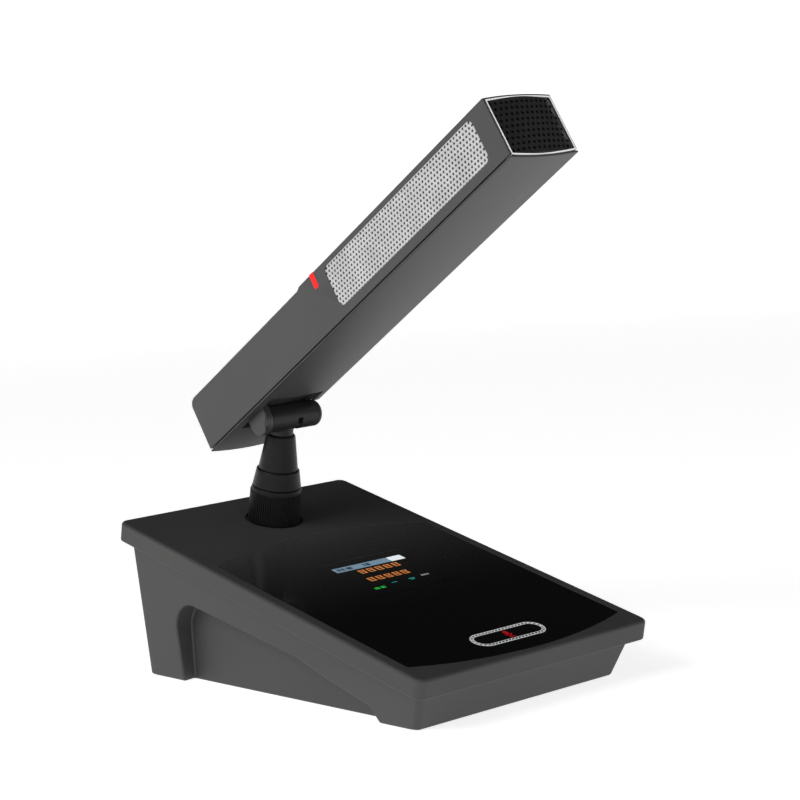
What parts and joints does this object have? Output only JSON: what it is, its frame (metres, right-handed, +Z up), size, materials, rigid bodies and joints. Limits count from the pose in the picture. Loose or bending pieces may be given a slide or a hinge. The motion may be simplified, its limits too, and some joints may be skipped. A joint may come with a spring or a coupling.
{
  "type": "desk conference microphone",
  "caption": "Desk conference microphone: sloped touch-panel base, knurled swivel stalk and a long rectangular tilting microphone with side grilles.",
  "frame": {"origin": "middle of the space the whole unit covers on the desk in its rest pose, at desk level", "axes": "+Z up; -Y toward the talker (the low front edge of the desk unit and the head of the microphone); +X to the right seen from behind the unit, across it"},
  "size_m": [0.133, 0.2217, 0.2504],
  "materials": {
    "housing_plastic": "fine moulded texture",
    "cover_plastic": "soft-touch",
    "panel_glass": "polished",
    "screen": "polished, lit",
    "key_light": "translucent, lit",
    "red_light": "translucent, lit",
    "circuit_board": "solder resist",
    "battery_wrap": "film wrap",
    "steel": "plated",
    "brass": "plated",
    "rubber": "matt",
    "ring_metal": "satin black",
    "stalk_metal": "satin black",
    "bushing": "natural",
    "mic_metal": "fine satin paint",
    "bracket_metal": "satin",
    "grille_metal": "perforated, satin",
    "chrome_trim": "polished",
    "black_mesh": "satin black",
    "foam": "open cell foam"
  },
  "bodies": {
    "base": {"base_housing": "housing_plastic", "top_cover": "cover_plastic", "base_plate": "housing_plastic", "rubber_feet": "rubber", "base_screws": "steel", "ballast_plate": "steel", "board_standoffs": "brass", "main_board": "circuit_board", "board_screws": "steel", "battery_pack": "battery_wrap", "charge_inlet": "steel", "touch_panel": "panel_glass", "display_module": "screen", "key_outline": "key_light", "key_symbol": "red_light", "touch_board": "circuit_board", "stalk_socket": "steel", "socket_screws": "steel"},
    "lock_ring": {"lock_ring": "ring_metal"},
    "stalk": {"stalk_core": "steel", "stalk_collar": "stalk_metal", "stalk_cone": "stalk_metal", "pivot_barrel": "stalk_metal", "barrel_cap": "stalk_metal", "pivot_bushing": "bushing"},
    "microphone": {"pivot_shaft": "steel", "stop_pin": "steel", "shaft_washer": "steel", "shaft_screw": "steel", "pivot_bracket": "bracket_metal", "bracket_screws": "steel", "mic_shell": "mic_metal", "mic_cover": "mic_metal", "side_grille_left": "grille_metal", "side_grille_right": "grille_metal", "status_light": "red_light", "head_trim": "chrome_trim", "end_grille": "black_mesh", "foam_insert": "foam", "mic_capsules": "brass", "mic_board": "circuit_board", "mic_board_screws": "steel"}
  },
  "joints": [
    {"name": "stalk_swivel", "type": "hinge", "parent": "base", "child": "stalk", "pos_m": [0, 0.07938, 0.06517], "axis": [0, -0.2351, 0.972], "range_deg": [-90, 90]},
    {"name": "lock_ring_turn", "type": "hinge", "parent": "base", "child": "lock_ring", "pos_m": [0, 0.07938, 0.06517], "axis": [0, -0.2351, 0.972], "range_deg": [-60, 60]},
    {"name": "mic_tilt", "type": "hinge", "parent": "stalk", "child": "microphone", "pos_m": [0, 0.06684, 0.11275], "axis": [-1, 0, 0], "range_deg": [-45.2, 14.8]}
  ]
}
